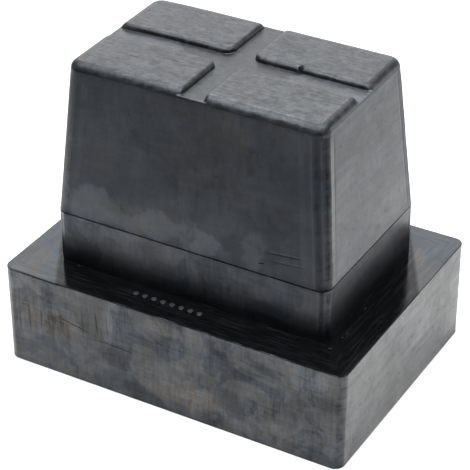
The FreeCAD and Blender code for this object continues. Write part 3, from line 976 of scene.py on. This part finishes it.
def pip_points(s, p):
    """Pips in a row: a crowned section turned about each pip's own axis, closed at its top and bottom."""
    turn_steps, crown_steps = 40, 6
    ledge, radius = s.base_height, p.diameter / 2
    hole, brow, root = 0.25 * radius, 0.93 * radius, 0.4 * MM
    dome, foot_round = 0.02 * MM, 0.05 * MM
    corners = [(hole, ledge + p.height), (brow, ledge + p.height), (radius, ledge), (radius, ledge - root),
               (hole, ledge - root)]
    section = bent_path(corners, [p.crown, foot_round, foot_round], crown_steps)
    angle = np.linspace(0, 2 * math.pi, turn_steps, endpoint=False)
    ring_x = section[:, 0][:, None] * np.cos(angle)
    ring_y = section[:, 0][:, None] * np.sin(angle)
    ring_z = section[:, 1][:, None] + 0 * ring_x
    one = np.stack([ring_x, ring_y, ring_z], axis=-1).reshape(-1, 3)
    one = np.vstack([one, [[0, 0, ledge + p.height + dome], [0, 0, ledge - root]]])
    rows, columns, count = len(section), len(angle), len(one)
    quads, ring = grid_quads(rows, columns), np.arange(columns)
    fans = np.vstack([fan(ring, count - 2, True), fan(ring + (rows - 1) * columns, count - 1, False)])
    place = np.arange(p.count)
    row = np.full(p.count, -s.block_width / 2 + p.inset)
    shift = np.stack([p.first + place * p.pitch, row, 0 * place], axis=-1)
    points = (one[None, :, :] + shift[:, None, :]).reshape(-1, 3)
    step = (place * count)[:, None, None]
    return points, (quads[None] + step).reshape(-1, 4), (fans[None] + step).reshape(-1, 3)


class SUPPORTBLOCK_OT_make_pips(Operator):
    """Make the row of pips on the ledge"""
    bl_idname = "support_block.make_pips"
    bl_label = "Make Pips"

    def execute(self, context):
        points, quads, triangles = pip_points(context.scene.block_sizes, context.scene.pip_sizes)
        settle(new_mesh("ledge_pips", points, quads, triangles), shared_rubber(context))
        return {"FINISHED"}


# Studio

# Width of the camera's frame in millimetres
FRAME_WIDTH = 36.0


def plain_material(name, tone, roughness):
    """Even matt colour."""
    material = bpy.data.materials.new(name)
    material.use_nodes = True
    shader = material.node_tree.nodes["Principled BSDF"]
    shader.inputs["Base Color"].default_value = (*tone, 1.0)
    shader.inputs["Roughness"].default_value = roughness
    shader.inputs["Specular IOR Level"].default_value = 0.2
    return material


def softbox(name, place, target, width, height, power):
    """Soft rectangular light at a place, turned to a target."""
    light = bpy.data.lights.new(name, "AREA")
    light.shape = "RECTANGLE"
    light.size, light.size_y, light.energy = width, height, power
    lamp = bpy.data.objects.new(name, light)
    lamp.location = place
    lamp.rotation_euler = (Vector(target) - Vector(place)).to_track_quat("-Z", "Y").to_euler()
    bpy.context.scene.collection.objects.link(lamp)


class SUPPORTBLOCK_OT_make_stage(Operator):
    """Make the floor, the lights and the camera"""
    bl_idname = "support_block.make_stage"
    bl_label = "Make Stage"

    def execute(self, context):
        scene, studio = context.scene, context.scene.studio_settings
        half = studio.floor_reach / 2
        corners = np.array([[-half, -half, 0], [half, -half, 0], [half, half, 0], [-half, half, 0]])
        floor = new_mesh("floor", corners, np.array([[0, 1, 2, 3]]), np.zeros((0, 3), int))
        floor.data.materials.append(plain_material("floor_white", studio.floor_colour, 0.6))
        for name, place, target, width, height, power in (
                ("top_light", (0.07, 0.02, 0.56), (0.04, 0.01, 0.0), 0.78, 0.78, studio.top_power),
                ("front_light", (-0.03, -0.14, 0.42), (-0.03, -0.14, 0.0), 0.4, 0.4, studio.front_power),
                ("left_light", (-0.26, -0.16, 0.5), (-0.1, -0.06, 0.0), 0.4, 0.4, studio.left_power),
                ("right_light", (0.2, -0.1, 0.42), (0.15, -0.06, 0.0), 0.3, 0.3, studio.right_power),
                ("back_light", (-0.7, 1.15, 0.75), (0.0, 0.0, 0.1), 1.8, 1.3, studio.back_power),
                ("side_light", (0.75, 1.05, 0.24), (0.0, 0.0, 0.1), 1.0, 0.42, studio.side_power)):
            softbox(name, place, target, width, height, power)
        world = bpy.data.worlds.new("room")
        world.use_nodes = True
        world.node_tree.nodes["Background"].inputs["Color"].default_value = (*studio.room, 1.0)
        scene.world = world
        camera = bpy.data.objects.new("camera", bpy.data.cameras.new("camera"))
        right = Vector(studio.camera_right).normalized()
        back = Vector(studio.camera_back).normalized()
        up = back.cross(right)
        turn = Matrix((right, up, back)).transposed().to_4x4()
        camera.matrix_world = Matrix.Translation(studio.camera_place) @ turn
        camera.data.sensor_width = FRAME_WIDTH
        camera.data.lens = studio.focal_length
        scene.collection.objects.link(camera)
        scene.camera = camera
        scene.view_settings.view_transform = "Standard"
        return {"FINISHED"}


class SUPPORTBLOCK_PT_panel(Panel):
    """Sizes and buttons in the 3D view's sidebar"""
    bl_label = "Support Block"
    bl_space_type = "VIEW_3D"
    bl_region_type = "UI"
    bl_category = "Support Block"

    def draw(self, context):
        layout = self.layout
        groups = [
            (context.scene.block_sizes, SUPPORTBLOCK_OT_make_block),
            (context.scene.pip_sizes, SUPPORTBLOCK_OT_make_pips),
            (context.scene.rubber_finish, None),
            (context.scene.studio_settings, SUPPORTBLOCK_OT_make_stage),
        ]
        for settings, maker in groups:
            box = layout.box()
            for name in settings.bl_rna.properties.keys():
                if name not in ("rna_type", "name"):
                    box.prop(settings, name)
            if maker:
                box.operator(maker.bl_idname)


CLASSES = (BlockSizes, PipSizes, RubberFinish, StudioSettings, SUPPORTBLOCK_OT_make_block,
           SUPPORTBLOCK_OT_make_pips, SUPPORTBLOCK_OT_make_stage, SUPPORTBLOCK_PT_panel)


def register():
    """Registers the classes and hangs their settings on the scene."""
    for item in CLASSES:
        bpy.utils.register_class(item)
    bpy.types.Scene.block_sizes = PointerProperty(type=BlockSizes)
    bpy.types.Scene.pip_sizes = PointerProperty(type=PipSizes)
    bpy.types.Scene.rubber_finish = PointerProperty(type=RubberFinish)
    bpy.types.Scene.studio_settings = PointerProperty(type=StudioSettings)


def unregister():
    """Takes the settings and the classes away again."""
    for name in ("block_sizes", "pip_sizes", "rubber_finish", "studio_settings"):
        delattr(bpy.types.Scene, name)
    for item in reversed(CLASSES):
        bpy.utils.unregister_class(item)


def main():
    """Makes every piece and the stage."""
    register()
    bpy.ops.support_block.make_block()
    bpy.ops.support_block.make_pips()
    bpy.ops.support_block.make_stage()


if __name__ == "__main__":
    main()
